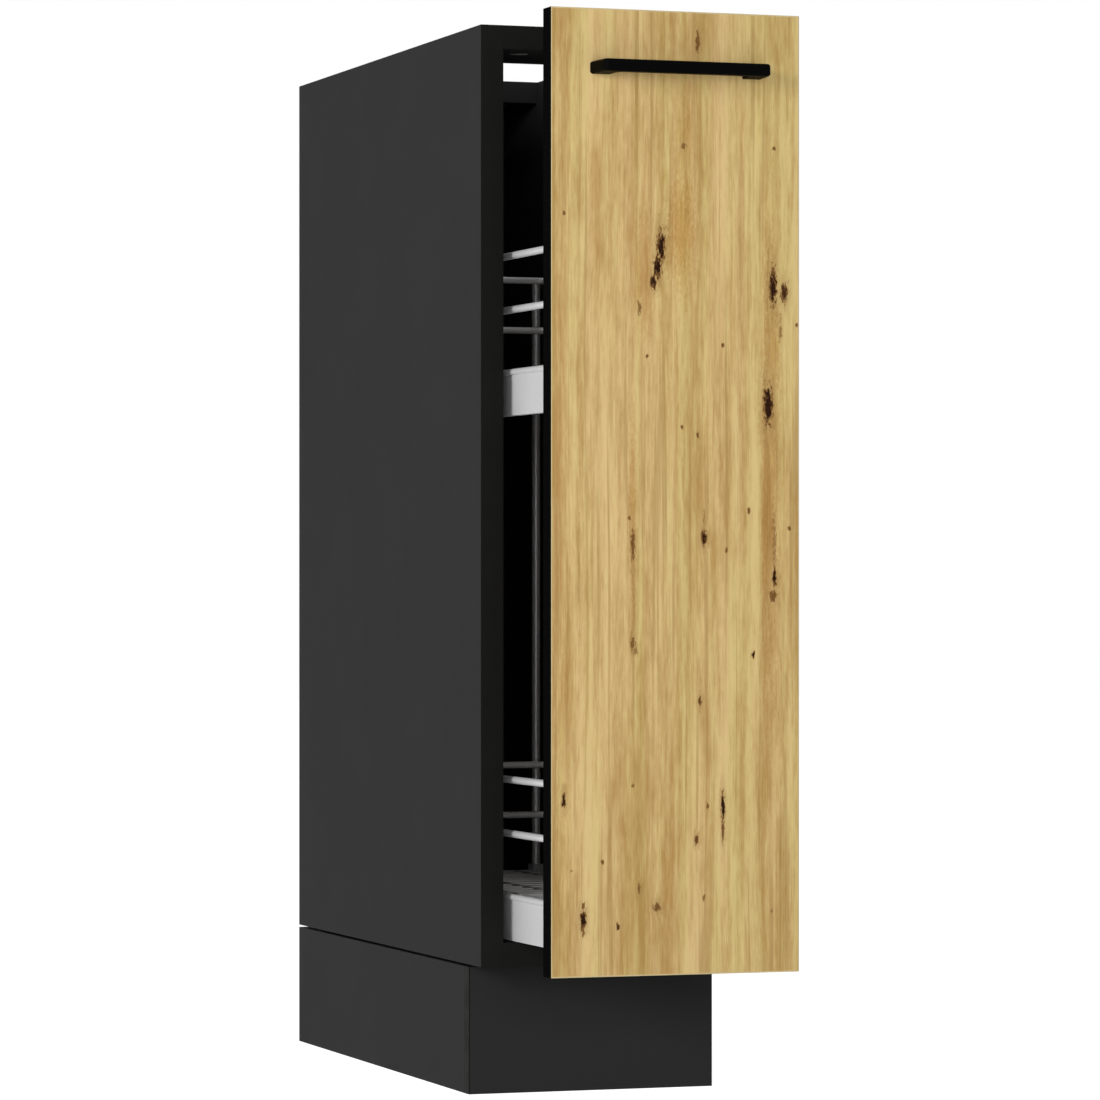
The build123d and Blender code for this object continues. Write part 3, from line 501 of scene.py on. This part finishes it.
# Shares of the head's radius and height
SEAT_SHARE = 0.9
RIM_SHARE = 0.12
CROWN_WIDTH_SHARE = 0.25
CROWN_HEIGHT_SHARE = 0.22
RECESS_ARM_SHARE = 0.58
RECESS_WIDTH_SHARE = 0.15
RECESS_FLOOR_SHARE = 0.45
RECESS_MOUTH_SHARE = 1.12
RECESS_FLOOR_HEIGHT_SHARE = 0.25
RECESS_MOUTH_HEIGHT_SHARE = 1.4
SHANK_OVERLAP_SHARE = 0.05
# Shares of the shank's radius
PITCH_SHARE = 0.85
CORE_SHARE = 0.72
TIP_SHARE = 0.12
TAPER_SHARE = 0.35
TAPER_LENGTH_SHARE = 3
# Radians that a screw is turned for each mm of its place, so that the recesses differ
SPIN_RATE = 0.9


def screw_head(radius, height):
    """Domed head with a cross recess, its seat at zero."""
    profile = [(radius * SEAT_SHARE, 0.0), (radius, height * RIM_SHARE)]
    for step in range(DOME_STEPS):
        angle = math.pi / 2 * step / DOME_STEPS
        reach = CROWN_WIDTH_SHARE + (1 - CROWN_WIDTH_SHARE) * math.cos(angle)
        rise = CROWN_HEIGHT_SHARE + (1 - CROWN_HEIGHT_SHARE) * math.sin(angle)
        profile.append((radius * reach, height * rise))
    head = object_of(lathe(profile, HEAD_SIDES), "screw_head")
    arm = radius * RECESS_ARM_SHARE
    width = radius * RECESS_WIDTH_SHARE
    recess = bmesh.new()
    for long, short in ((arm, width), (width, arm)):
        corners = [(-long, -short), (long, -short), (long, short), (-long, short)]
        low = [recess.verts.new((x * RECESS_FLOOR_SHARE, y * RECESS_FLOOR_SHARE,
                                 height * RECESS_FLOOR_HEIGHT_SHARE)) for x, y in corners]
        high = [recess.verts.new((x * RECESS_MOUTH_SHARE, y * RECESS_MOUTH_SHARE,
                                  height * RECESS_MOUTH_HEIGHT_SHARE)) for x, y in corners]
        recess.faces.new(reversed(low))
        recess.faces.new(high)
        join_rings(recess, low, high)
    cut(head, object_of(recess, "recess"))
    return head


def screw_shank(radius, length, overlap):
    """Threaded shank from its tip at zero, running a little way into the head."""
    pitch = radius * PITCH_SHARE
    core = radius * CORE_SHARE
    profile = [(radius * TIP_SHARE, 0.0)]
    height = pitch * 0.5
    while height < length - pitch * 1.2:
        taper = min(1.0, TAPER_SHARE + height / (radius * TAPER_LENGTH_SHARE))
        profile += [(core * taper, height), (radius * taper, height + pitch * 0.5)]
        height += pitch
    profile += [(core, height), (core, length + overlap)]

    def climb(level, turn):
        held = level <= 0.0 or level >= length - pitch * 0.2
        return level if held else level + pitch * (turn - 0.5)

    return object_of(lathe(profile, SHANK_SIDES, climb), "screw_shank")


def screw_mesh(head_radius, head_height, shank_radius, length):
    """Along +Z: the tip at zero, the face under the head at length."""
    head = screw_head(head_radius, head_height)
    shank = screw_shank(shank_radius, length, head_height * SHANK_OVERLAP_SHARE)
    head.data.transform(Matrix.Translation((0, 0, length)))
    mesh = bmesh.new()
    for item in (shank, head):
        mesh.from_mesh(item.data)
        bpy.data.objects.remove(item)
    return mesh


def dress_screws(node, body, slot, heads_face, shank_share):
    """One piece with a detailed screw in the place of each plain one."""
    whole = bmesh.new()
    for low, high in solids_of(node):
        centre = (low + high) / 2
        axis = Vector(heads_face or (-1 if centre.x > 0 else 1, 0, 0))
        size = high - low
        length = abs(size.dot(axis))
        width = max(size[i] for i in range(3) if abs(axis[i]) < 0.5)
        tip = centre - axis * length / 2
        part = screw_mesh(width / 2, HEAD_HEIGHT, width / 2 * shank_share, length - HEAD_HEIGHT)
        turn = Vector((0, 0, 1)).rotation_difference(axis).to_matrix().to_4x4()
        spin = Matrix.Rotation(SPIN_RATE * (centre.x + centre.y + centre.z) / MM, 4, "Z")
        part.transform(Matrix.Translation(tip) @ turn @ spin)
        data = bpy.data.meshes.new("part")
        part.to_mesh(data)
        part.free()
        whole.from_mesh(data)
        bpy.data.meshes.remove(data)
    piece = object_of(whole, f"{node}_detail")
    for polygon in piece.data.polygons:
        polygon.use_smooth = False
    piece.data.materials.clear()
    piece.data.materials.append(MATERIALS[slot])
    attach(piece, body)
    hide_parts(node)


# Node, body, the way its heads face (None: towards the cabinet's middle) and the shank's
# share of the head's radius
SCREWS = [
    ("leg_screws", "carcass", (0, 0, -1), 0.53),
    ("runner_base_screws", "carcass", (0, 0, 1), 0.53),
    ("carriage_screws", "pull_out", None, 0.53),
    ("frame_bolts", "pull_out", (0, -1, 0), 0.6),
    ("front_bracket_screws", "pull_out", (0, 1, 0), 0.53),
    ("handle_screws", "pull_out", (0, 1, 0), 0.53),
]
for node, body, heads_face, shank_share in SCREWS:
    dress_screws(node, body, "zinc", heads_face, shank_share)


# Weld beads where the floor wires cross the ring and the long wires of each basket, which
# run this far to each side of the middle
FLOOR_WIRES = 16
RING_PLACE = 65 * MM
LONG_WIRE_PLACE = 30 * MM
BEAD_RADIUS = 2.3 * MM
BEAD_SQUASH = (1.25, 1.1, 0.7, 1.0)
BEAD_DROP = 1.9 * MM


def weld_beads(node):
    low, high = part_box(node)
    pitch = (high.y - low.y) / (FLOOR_WIRES + 1)
    whole = bmesh.new()
    for index in range(FLOOR_WIRES):
        y = low.y + pitch * (index + 1)
        for x in (-RING_PLACE, -LONG_WIRE_PLACE, LONG_WIRE_PLACE, RING_PLACE):
            place = Matrix.Translation((x, y, high.z - BEAD_DROP))
            bmesh.ops.create_icosphere(whole, subdivisions=2, radius=BEAD_RADIUS,
                                       matrix=place @ Matrix.Diagonal(BEAD_SQUASH))
    piece = object_of(whole, f"{node}_welds")
    for polygon in piece.data.polygons:
        polygon.use_smooth = True
    # The beads take the floor wire's painted shade
    piece.data.materials.append(shaded_floor_wire)
    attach(piece, "pull_out")


for height in ("lower", "upper"):
    weld_beads(f"{height}_basket_floor")


# Stage
FLOOR_SIZE = 12.0
FLOOR_DROP = 0.2 * MM
AMBIENT = 0.2


def seen_share(tree):
    """1 for a camera, glossy or transmission ray, and 0 for the others."""
    rays = tree.nodes.new("ShaderNodeLightPath")
    share = rays.outputs["Is Camera Ray"]
    for kind in ("Is Glossy Ray", "Is Transmission Ray"):
        larger = tree.nodes.new("ShaderNodeMath")
        larger.operation = "MAXIMUM"
        tree.links.new(share, larger.inputs[0])
        tree.links.new(rays.outputs[kind], larger.inputs[1])
        share = larger.outputs[0]
    return share


def white_surface(name, paint, bounce, glow):
    """White matt floor: it keeps a shadow, throws light up, and reads white to the camera."""
    graph = Graph(name)
    grain = graph.noise(evenly(40))
    tone = graph.mix(grain, grey(paint * 0.99), grey(paint))
    glowing = graph.span(seen_share(graph.tree), 0.0, 1.0, bounce, glow)
    return graph.finish(Base_Color=tone, Roughness=0.9, Specular_IOR_Level=0.0,
                        Emission_Color=WHITE, Emission_Strength=glowing)


def white_world(name, ambient):
    """Soft light all round, and a white background where a ray sees it directly."""
    world = bpy.data.worlds.new(name)
    world.use_nodes = True
    tree = world.node_tree
    tree.nodes.clear()
    level = tree.nodes.new("ShaderNodeMapRange")
    level.inputs["To Min"].default_value = ambient
    level.inputs["To Max"].default_value = 1.0
    tree.links.new(seen_share(tree), level.inputs["Value"])
    background = tree.nodes.new("ShaderNodeBackground")
    background.inputs["Color"].default_value = WHITE
    tree.links.new(level.outputs["Result"], background.inputs["Strength"])
    output = tree.nodes.new("ShaderNodeOutputWorld")
    tree.links.new(background.outputs["Background"], output.inputs["Surface"])
    return world


def soft_box(name, place, target, width, height, power):
    light = bpy.data.lights.new(name, "AREA")
    light.shape = "RECTANGLE"
    light.size = width
    light.size_y = height
    light.energy = power
    lamp = bpy.data.objects.new(name, light)
    lamp.location = place
    lamp.rotation_euler = (Vector(target) - Vector(place)).to_track_quat("-Z", "Y").to_euler()
    bpy.context.scene.collection.objects.link(lamp)


floor_mesh = bmesh.new()
bmesh.ops.create_grid(floor_mesh, x_segments=2, y_segments=2, size=FLOOR_SIZE)
floor = object_of(floor_mesh, "floor")
floor.location.z = -FLOOR_DROP
floor.data.materials.append(white_surface("pale_floor", paint=0.8, bounce=0.42, glow=0.88))
bpy.context.scene.world = white_world("studio", AMBIENT)
soft_box("key", place=(-2.45, -1.85, 1.2), target=(0.0, 0.0, 0.45), width=0.9, height=0.9,
         power=50.0)
soft_box("front_fill", place=(-0.6, -3.6, 0.72), target=(0.0, 0.0, 0.42), width=2.4, height=1.1,
         power=54.0)

# Camera, solved from the photograph: lengths in its pixels, place in metres
FOCAL_PIXELS = 4935.12
FRAME_PIXELS = 1100.0
HORIZON_ROW = 582.43
SENSOR_WIDTH = 36.0
CAMERA_PLACE = (-1.27718, -3.82953, 0.39389)
CAMERA_TURN = -0.3317
FAR_LIMIT = 60.0
camera_data = bpy.data.cameras.new("camera")
camera_data.sensor_fit = "HORIZONTAL"
camera_data.sensor_width = SENSOR_WIDTH
camera_data.lens = SENSOR_WIDTH * FOCAL_PIXELS / FRAME_PIXELS
camera_data.shift_y = (HORIZON_ROW - FRAME_PIXELS / 2) / FRAME_PIXELS
camera_data.clip_end = FAR_LIMIT
camera = bpy.data.objects.new("camera", camera_data)
camera.location = CAMERA_PLACE
camera.rotation_euler = (math.pi / 2, 0.0, CAMERA_TURN)
bpy.context.scene.collection.objects.link(camera)
bpy.context.scene.camera = camera
bpy.context.scene.view_settings.view_transform = "Standard"
